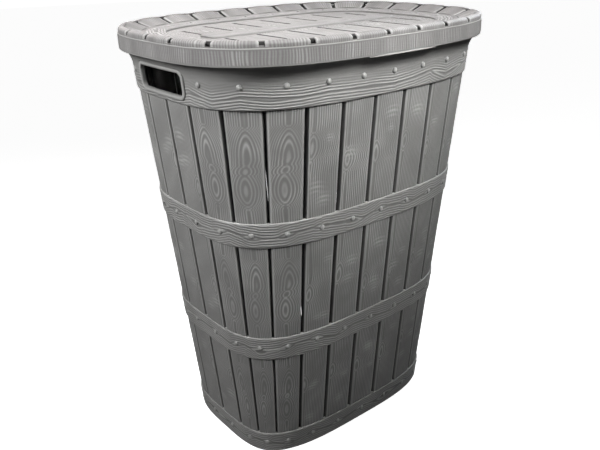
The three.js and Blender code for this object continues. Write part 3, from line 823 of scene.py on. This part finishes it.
def build_lid_skirt():
    """The skirt is a ribbed band with a rolled lower edge, a step at its top and a ledge inside."""
    ribs = rib_relief(0.0031, 0.0005, np.random.RandomState(5))
    out, inner = LID_OUT, LID_OUT - 0.003
    line = face_line([[out, 0.5452], [out, 0.5620]], 9)
    section = np.vstack([
        plain([[out - 0.0018, 0.5435], [out - 0.0006, 0.5437], [out, 0.5444]]), line,
        plain([[out + 0.0002, 0.5624], [out, 0.5630], [out - 0.0012, 0.5632], [inner, 0.5630],
               [inner, 0.5580], [0.004, 0.5580], [0.004, 0.5553], [inner, 0.5553], [inner, 0.5438]]),
    ])
    skirt = band(section, 2080, lambda o, z, a: ribs(a, z))
    tone = skirt["relief"].copy()
    # The rolled lower edge is lightened: a painted highlight.
    tone[:, :3] = 0.85
    # The step at the top is lightened more: a painted highlight.
    tone[:, 12:15] = 1.1
    skirt["relief"] = tone
    mesh_piece("ribbed_lid_skirt", [skirt], "lid_finish", ["lid_skirt"])

    # Finger lift: a rounded lip under the front that stands out a little, thinner towards its ends.
    reach = 0.053 / PITCH
    p = np.linspace(-reach, reach, 60)
    lip = 1 - (p / reach) ** 4
    turn = np.linspace(0, TAU, 14, endpoint=False)
    offset = out - 0.0006 + (0.0006 + 0.0012 * lip)[:, None] * np.cos(turn)[None, :]
    z = 0.5431 + (0.0003 + 0.0007 * lip[:, None]) * np.sin(turn)[None, :]
    x, y = plan(p[:, None] + 0 * z, offset)
    uv = stacked(np.linspace(0, 0.01, 15)[None, :], p[:, None] * PITCH)
    # The lip is lightened all over: a painted highlight.
    lift = grid(stacked(x, y, z), uv, 0.7, (False, True), True)
    mesh_piece("rounded_finger_lift", [lift], "lid_finish", ["finger_lift"])


def build_lid_rim(sizes):
    """Stave ends roll over the rim: boards carried up the band, round its top and down into the dish."""
    half = 0.5 - sizes.rim_slot / PITCH / 2
    turn = np.linspace(0, 1, 10)
    up = stacked(np.full(6, LID_OUT - 0.0012), np.linspace(0.5633, 0.5664, 6))
    quarter = turn * np.pi / 2
    roll = stacked(0.0130 + 0.0053 * np.cos(quarter), 0.5664 + 0.0034 * np.sin(quarter))[1:]
    down_off = np.linspace(0.0126, -0.0094, 20)
    down = stacked(down_off, 0.5606 + 0.0092 * ((down_off + 0.0135) / 0.0265) ** 1.15)
    path = np.concatenate([up, roll, down])
    patches = []
    for index in range(STAVES):
        rng = np.random.RandomState(300 + index)
        ribs = rib_relief(rng.uniform(0.0025, 0.0031), 0.0004, rng)
        patches.append(bent_board(index, half, path, 0.0022, 0.0011, 58, ribs, crown=0.0008))
    inner = [[-0.0098, 0.5588], [-0.0086, 0.5596], [-0.0086, 0.5622], [-0.0135, 0.5610], [-0.0135, 0.5588]]
    patches.append(band(plain(inner), PLAIN_AROUND))
    behind = [[0.0095, 0.5655], [0.0142, 0.5655], [0.0142, 0.5690], [0.0130, 0.5698], [0.0095, 0.5692]]
    crest = band(plain(behind), PLAIN_AROUND)
    # The ring behind the rim slots is darkened almost to black, least at its top: painted shade.
    crest["relief"] = np.array([-0.6, -0.6, -0.4, 0.2, -0.4])[None, :]
    patches.append(crest)
    low = LID_OUT - 0.0033
    seat = [[low, 0.5633], [low + 0.0025, 0.5633], [low + 0.0025, 0.5643], [low, 0.5643]]
    patches.append(band(plain(seat), PLAIN_AROUND))
    mesh_piece("ribbed_lid_rim", patches, "lid_finish", ["lid_rim"])


def build_lid_deck(sizes):
    """The deck of the lid is its oval band, its panel and its middle band, drawn from one seed."""
    rng = np.random.RandomState(11)
    build_lid_ring(sizes, rng)
    build_lid_panel(sizes, rng)
    build_lid_middle(rng)


def build_lid_ring(sizes, rng):
    """The oval band is a flat section carried round the plan, with a dome at every stave."""
    grained = hoop_relief(0.0, 0.0036, 0.0004, rng)

    def ring_relief(offset, z, along):
        return grained(offset, offset + 0.0265, along)

    top = face_line([[-0.0392, 0.5606], [-0.0146, 0.5612]], 30)[::-1]
    section = np.vstack([
        plain([[-0.0138, 0.5557], [-0.0138, 0.5606]]), top,
        plain([[-0.0400, 0.5600], [-0.0400, 0.5589], [-0.0300, 0.5589], [-0.0300, 0.5557]]),
    ])
    ring = band(section, 520, ring_relief)
    mesh_piece("grained_lid_ring_band", [ring], "lid_finish", ["lid_ring_band"])
    places = []
    for p in range(STAVES):
        x, y = plan(float(p), -0.0235)
        places.append((np.array([float(x), float(y), 0.5609]), np.array([1.0, 0, 0]), np.array([0, 0, 1.0])))
    studs = domes(places, sizes.rivet_radius * 0.8, 0.0017)
    mesh_piece("lid_band_rivets", studs, "lid_rivet_finish")


def build_lid_panel(sizes, rng):
    """The panel is a plate of slats that run front to back, with two rows of slots between them."""
    step, half = 0.0466, sizes.panel_slot / 2
    near_end, far_end, short_end = 0.024, 0.098, 0.074
    lip, fringe = 0.0009, 0.002
    centres = (np.arange(7) - 3) * step
    xs = [-0.19]
    for centre in centres:
        xs += list(np.linspace(xs[-1], centre - half - lip, 36)[1:])
        xs += [centre - half, centre, centre + half, centre + half + lip]
    xs = np.array(xs + list(np.linspace(xs[-1], 0.19, 36)[1:]))
    slot_ends = [-far_end, -short_end, -near_end, near_end, short_end, far_end]
    ys = np.unique(np.round(np.concatenate([np.linspace(-0.13, 0.13, 85), slot_ends]), 5))
    p = np.linspace(0, STAVES, 721)
    ex, ey = plan(p, -0.0303)
    angle = np.mod(np.arctan2(ey, ex), TAU)
    order = np.argsort(angle[:-1])
    angle, radius = angle[:-1][order], np.hypot(ex, ey)[:-1][order]
    angle = np.concatenate([[angle[-1] - TAU], angle, [angle[0] + TAU]])
    edge = (angle, np.concatenate([[radius[-1]], radius, [radius[0]]]))
    mx, my = np.meshgrid((xs[1:] + xs[:-1]) / 2, (ys[1:] + ys[:-1]) / 2, indexing="ij")
    inside = np.hypot(mx, my) < np.interp(np.mod(np.arctan2(my, mx), TAU), *edge)
    near = np.abs(mx - step * np.round(mx / step))
    reach = np.where(np.abs(np.round(mx / step)) == 3, short_end, far_end)
    slot = (near < half) & (np.abs(my) > near_end) & (np.abs(my) < reach) & (np.abs(mx) < 3.4 * step)
    lobes = [lobe(*draws(rng, (-0.09, 0.09), (0.004, 0.009), (0.012, 0.03)), 0.014) for _ in range(4)]
    heart = [(-0.06, 0.006), (0.0, -0.005), (0.06, 0.004)]

    def panel_relief(x, y):
        slat = np.floor(x / step)
        across = x - (slat + 0.5) * step
        seed = np.random.RandomState(2)
        line = grain(across, y + 0.013 * slat, heart, lobes, 0.0038, seed, sharp=1.6, wander=0.5)
        number = np.round(x / step)
        rim = np.clip((np.abs(x - step * number) - half) / 0.0008, 0, 1)
        end = np.where(np.abs(number) == 3, short_end, far_end) + fringe
        # Along the slot edges the tone is pulled down: painted shade on the slot walls.
        slot_shade = (1 - rim) * ((np.abs(y) > near_end - fringe) & (np.abs(y) < end) & (np.abs(number) < 3.4))
        return (0.0004 * line - 0.0003) * rim, 0.35 + 0.5 * line - 0.95 * slot_shade

    verts, quads, shade = masked_plate(xs, ys, inside & ~slot, 0.5556, 0.5586, panel_relief, edge)
    mesh = bpy.data.meshes.new("grained_lid_panel")
    mesh.from_pydata(verts.tolist(), [], quads.tolist())
    layer = mesh.uv_layers.new(name="grain")
    index = np.empty(len(mesh.loops), np.int32)
    mesh.loops.foreach_get("vertex_index", index)
    layer.data.foreach_set("uv", verts[index, :2].astype(np.float32).ravel())
    value = mesh.attributes.new("relief", "FLOAT", "POINT")
    value.data.foreach_set("value", shade.astype(np.float32))
    mesh.validate()
    place_piece("grained_lid_panel", mesh, "lid_finish", ["lid_panel"])


def build_lid_middle(rng):
    """The raised band along the middle has rounded ends: its width is 0.007 + 0.012 sqrt(1 - t^2) there."""
    side, end, half = 28, 0.141, 0.153
    x = np.linspace(-half, half, 160)
    ends = np.sqrt(np.clip(1 - (np.clip(np.abs(x) - end, 0, None) / 0.0122) ** 2, 0.02, 1))
    place = np.linspace(-1, 1, side + 2)
    lift = np.concatenate([[0], np.ones(side), [0]])
    y = np.concatenate([place, place[::-1][1:-1]])
    level = np.concatenate([0.5591 + 0.0013 * lift, np.full(side, 0.5588)])
    width = 0.007 + 0.012 * ends
    points = stacked(x[:, None], y[None, :] * width[:, None], level[None, :])
    lobes = [lobe(-0.07, 0.006, 0.03, 0.02), lobe(0.05, 0.007, 0.035, 0.025)]
    heart = [(-0.1, 0.002), (0.1, -0.004)]
    lines = grain(points[..., 1], points[..., 0], heart, lobes, 0.0036, rng, sharp=1.6, wander=0.5)
    on_top = np.concatenate([[0, 0], np.ones(side - 2), [0, 0], np.zeros(side)])[None, :]
    points[..., 2] += 0.00035 * lines * on_top
    uv = stacked(np.append(y, y[0])[None, :] * 0.019, x[:, None])
    strip = grid(points, uv, LEVEL + (0.4 * lines - 0.1) * on_top, (False, True), True)
    mesh_piece("grained_lid_centre_band", [strip], "lid_finish", ["lid_centre_band"])


def dress_hinge():
    """The hinge keeps its solid shapes and takes the plain moulded finish."""
    for kind, side in itertools.product(("hinge_bracket", "hinge_pin", "lid_ear"), ("left", "right")):
        node = f"{kind}_{side}"
        name = "plain_lid_finish" if node.startswith("lid") else "plain_trim_finish"
        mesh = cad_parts[node].data
        if not mesh.materials:
            mesh.materials.append(None)
        for index in range(len(mesh.materials)):
            mesh.materials[index] = bpy.data.materials[name]


def placed(side, above, back, place):
    """Matrix with three axes and a place as its columns."""
    return Matrix([[side[k], above[k], back[k], place[k]] for k in range(3)] + [[0, 0, 0, 1]])


def build_stage(colours):
    """A broad pale floor, soft lamps, and the camera in front of the near left corner."""
    floor = bpy.data.materials.new("studio_floor")
    floor.use_nodes = True
    tree = floor.node_tree
    shader = tree.nodes["Principled BSDF"]
    shader.inputs["Roughness"].default_value = 0.9
    shader.inputs["Specular IOR Level"].default_value = 0.1
    where = tree.nodes.new("ShaderNodeTexCoord")
    noise = add_node(tree, "TexNoise", {"Vector": where.outputs["Object"], "Scale": 3.0})
    ramp = add_node(tree, "MapRange", {"Value": noise, "To Min": 0.97})
    tint = add_node(tree, "VectorMath", {0: tuple(colours.floor), "Scale": ramp}, "SCALE")
    # Seen directly the floor is a pale light table. It throws little light back on the hamper.
    ray = tree.nodes.new("ShaderNodeLightPath")
    seen = math_node(tree, "ADD", math_node(tree, "MULTIPLY", ray.outputs["Is Camera Ray"], 0.7), 0.3)
    pale = add_node(tree, "VectorMath", {0: tint, "Scale": seen}, "SCALE")
    tree.links.new(pale, shader.inputs["Base Color"])
    shader.inputs["Emission Color"].default_value = (1, 1, 1, 1)
    glow = math_node(tree, "MULTIPLY", ray.outputs["Is Camera Ray"], 0.96)
    tree.links.new(glow, shader.inputs["Emission Strength"])

    radius = np.array([0.02, 0.3, 0.6, 1.0, 2.0, 4.0, 8.0])
    angle = np.arange(96) / 96 * TAU
    x, y = radius[:, None] * np.cos(angle), radius[:, None] * np.sin(angle)
    points = stacked(x, y, -0.0006)
    rows, cols = points.shape[:2]
    i, j = np.meshgrid(np.arange(rows - 1), np.arange(cols), indexing="ij")
    j2 = (j + 1) % cols
    inner, outer = i * cols, (i + 1) * cols
    quads = stacked(inner + j, outer + j, outer + j2, inner + j2).reshape(-1, 4)
    mesh = bpy.data.meshes.new("studio_floor")
    mesh.from_pydata(points.reshape(-1, 3).tolist(), [], quads.tolist() + [list(range(cols))])
    mesh.materials.append(floor)
    sheet = bpy.data.objects.new("studio_floor", mesh)
    bpy.context.scene.collection.objects.link(sheet)

    world = bpy.data.worlds.new("studio")
    bpy.context.scene.world = world
    world.use_nodes = True
    tree = world.node_tree
    backdrop = tree.nodes["Background"]
    backdrop.inputs["Color"].default_value = (1, 1, 1, 1)
    ray = tree.nodes.new("ShaderNodeLightPath")
    level = math_node(tree, "ADD", ray.outputs["Is Camera Ray"], 0.015)
    tree.links.new(level, backdrop.inputs["Strength"])

    for name, place, target, size, spread, power, tint in (
        ("front_lamp", (0.08, -0.70, 1.13), (0.0, -0.16, 0.62), 0.45, 38, 1.38, (1.0, 0.998, 0.985)),
        ("left_lamp", (-1.05, 0.05, 1.05), (-0.20, 0.0, 0.50), 0.5, 60, 2.05, (1.0, 1.0, 1.0)),
        ("right_lamp", (1.10, 0.05, 1.00), (0.20, 0.0, 0.50), 0.6, 80, 2.2, (0.90, 0.95, 1.0)),
        ("top_lamp", (0.1, 0.5, 1.9), (0.0, 0.0, 0.55), 1.2, 90, 2.6, (1.0, 0.91, 0.89)),
        ("back_lamp", (0.1, 1.0, 1.05), (0.0, 0.16, 0.58), 0.6, 60, 0.8, (1.0, 0.94, 0.93)),
    ):
        lamp = bpy.data.lights.new(name, "AREA")
        lamp.shape, lamp.size, lamp.energy, lamp.color = "DISK", size, power, tint
        lamp.spread = math.radians(spread)
        holder = bpy.data.objects.new(name, lamp)
        holder.visible_camera = False
        bpy.context.scene.collection.objects.link(holder)
        aim = np.array(target) - np.array(place)
        aim = aim / np.linalg.norm(aim)
        side = np.cross(aim, (0, 0, 1))
        side /= np.linalg.norm(side)
        above = np.cross(side, aim)
        holder.matrix_world = placed(side, above, -aim, place)

    # Camera: turned to the right of +Y by its yaw, tipped down by its pitch and rolled a little.
    yaw, pitch, roll = 0.6706, -0.3959, -0.0247
    ahead = np.array([math.sin(yaw) * math.cos(pitch), math.cos(yaw) * math.cos(pitch), math.sin(pitch)])
    right = np.array([math.cos(yaw), -math.sin(yaw), 0.0])
    above = np.cross(right, ahead)
    turn_in, turn_up = math.cos(roll), math.sin(roll)
    right, above = right * turn_in + above * turn_up, above * turn_in - right * turn_up
    camera = bpy.data.cameras.new("camera")
    camera.lens, camera.sensor_width, camera.clip_start = 41.18, 36.0, 0.02
    holder = bpy.data.objects.new("camera", camera)
    bpy.context.scene.collection.objects.link(holder)
    place = (-0.5874, -0.7197, 0.6645)
    holder.matrix_world = placed(right, above, -ahead, place)
    bpy.context.scene.camera = holder
    bpy.context.scene.view_settings.view_transform = "Standard"


# ---------------------------------------------------------------- operators
class HAMPER_OT_finishes(bpy.types.Operator):
    """Make the moulded plastic finishes."""

    bl_idname = "hamper.finishes"
    bl_label = "Finishes"

    def execute(self, context):
        colours = context.scene.hamper_colours
        group = grained_finish()
        painted_light = tuple(colours.painted_light)
        hoop, lid = tuple(colours.hoop), tuple(colours.lid)
        # The lid's painted highlight is a little lighter than the tub's.
        bright = tuple(min(1.0, 1.08 * c) for c in painted_light)
        plastic("stave_finish", tuple(colours.stave), painted_light, 1.0, 0.46, group)
        plastic("hoop_finish", hoop, painted_light, 0.8, 0.44, group)
        plastic("rivet_finish", hoop, painted_light, 0.3, 0.38, group)
        plastic("trim_finish", hoop, painted_light, 0.3, 0.40, group)
        plastic("floor_finish", tuple(0.85 * c for c in hoop), painted_light, 0.4, 0.5, group)
        plastic("lid_finish", lid, bright, 0.8, 0.52, group)
        plastic("lid_rivet_finish", lid, bright, 0.3, 0.38, group)
        plastic("plain_lid_finish", lid, bright, 0.4, 0.45, group, carved=False)
        plastic("plain_trim_finish", hoop, painted_light, 0.4, 0.45, group, carved=False)
        return {"FINISHED"}


class HAMPER_OT_staves(bpy.types.Operator):
    """Build the staves of the tub."""

    bl_idname = "hamper.staves"
    bl_label = "Staves"

    def execute(self, context):
        build_staves(context.scene.hamper_sizes)
        return {"FINISHED"}


class HAMPER_OT_hoops(bpy.types.Operator):
    """Build the three hoops and their rivets."""

    bl_idname = "hamper.hoops"
    bl_label = "Hoops"

    def execute(self, context):
        sizes = context.scene.hamper_sizes
        build_hoop(sizes, "base_hoop", 0.0, 0.032, 0.0175, 21)
        build_hoop(sizes, "lower_hoop", 0.161, 0.1946, 0.1798, 22)
        build_hoop(sizes, "middle_hoop", 0.3264, 0.3589, 0.3435, 23)
        return {"FINISHED"}


class HAMPER_OT_collar(bpy.types.Operator):
    """Build the collar, its rivets and the frames of the hand openings."""

    bl_idname = "hamper.collar"
    bl_label = "Collar and hand openings"

    def execute(self, context):
        build_collar(context.scene.hamper_sizes)
        build_handles()
        return {"FINISHED"}


class HAMPER_OT_base(bpy.types.Operator):
    """Build the foot ring and the floor of the tub."""

    bl_idname = "hamper.base"
    bl_label = "Base"

    def execute(self, context):
        build_base()
        return {"FINISHED"}


class HAMPER_OT_lid(bpy.types.Operator):
    """Build the skirt, rim and deck of the lid."""

    bl_idname = "hamper.lid"
    bl_label = "Lid"

    def execute(self, context):
        sizes = context.scene.hamper_sizes
        build_lid_skirt()
        build_lid_rim(sizes)
        build_lid_deck(sizes)
        return {"FINISHED"}


class HAMPER_OT_hinge(bpy.types.Operator):
    """Give the hinge its finish."""

    bl_idname = "hamper.hinge"
    bl_label = "Hinge"

    def execute(self, context):
        dress_hinge()
        return {"FINISHED"}


class HAMPER_OT_stage(bpy.types.Operator):
    """Set the floor, lamps and camera."""

    bl_idname = "hamper.stage"
    bl_label = "Stage"

    def execute(self, context):
        build_stage(context.scene.hamper_colours)
        return {"FINISHED"}


OPERATORS = (
    HAMPER_OT_finishes, HAMPER_OT_stage, HAMPER_OT_staves, HAMPER_OT_hoops,
    HAMPER_OT_collar, HAMPER_OT_base, HAMPER_OT_lid, HAMPER_OT_hinge,
)


class HAMPER_PT_panel(bpy.types.Panel):
    """Sidebar panel with the hamper's builders, sizes and colours."""

    bl_idname = "HAMPER_PT_panel"
    bl_label = "Laundry hamper"
    bl_space_type = "VIEW_3D"
    bl_region_type = "UI"
    bl_category = "Hamper"

    def draw(self, context):
        layout = self.layout
        for operator in OPERATORS:
            layout.operator(operator.bl_idname)
        for settings in (context.scene.hamper_sizes, context.scene.hamper_colours):
            for name in settings.__annotations__:
                layout.prop(settings, name)


CLASSES = (HamperSizes, HamperColours, *OPERATORS, HAMPER_PT_panel)


def register():
    for cls in CLASSES:
        bpy.utils.register_class(cls)
    bpy.types.Scene.hamper_sizes = bpy.props.PointerProperty(type=HamperSizes)
    bpy.types.Scene.hamper_colours = bpy.props.PointerProperty(type=HamperColours)


def unregister():
    del bpy.types.Scene.hamper_colours
    del bpy.types.Scene.hamper_sizes
    for cls in reversed(CLASSES):
        bpy.utils.unregister_class(cls)


def main():
    register()
    bpy.ops.hamper.finishes()
    bpy.ops.hamper.stage()
    bpy.ops.hamper.staves()
    bpy.ops.hamper.hoops()
    bpy.ops.hamper.collar()
    bpy.ops.hamper.base()
    bpy.ops.hamper.lid()
    bpy.ops.hamper.hinge()


if __name__ == "__main__":
    main()
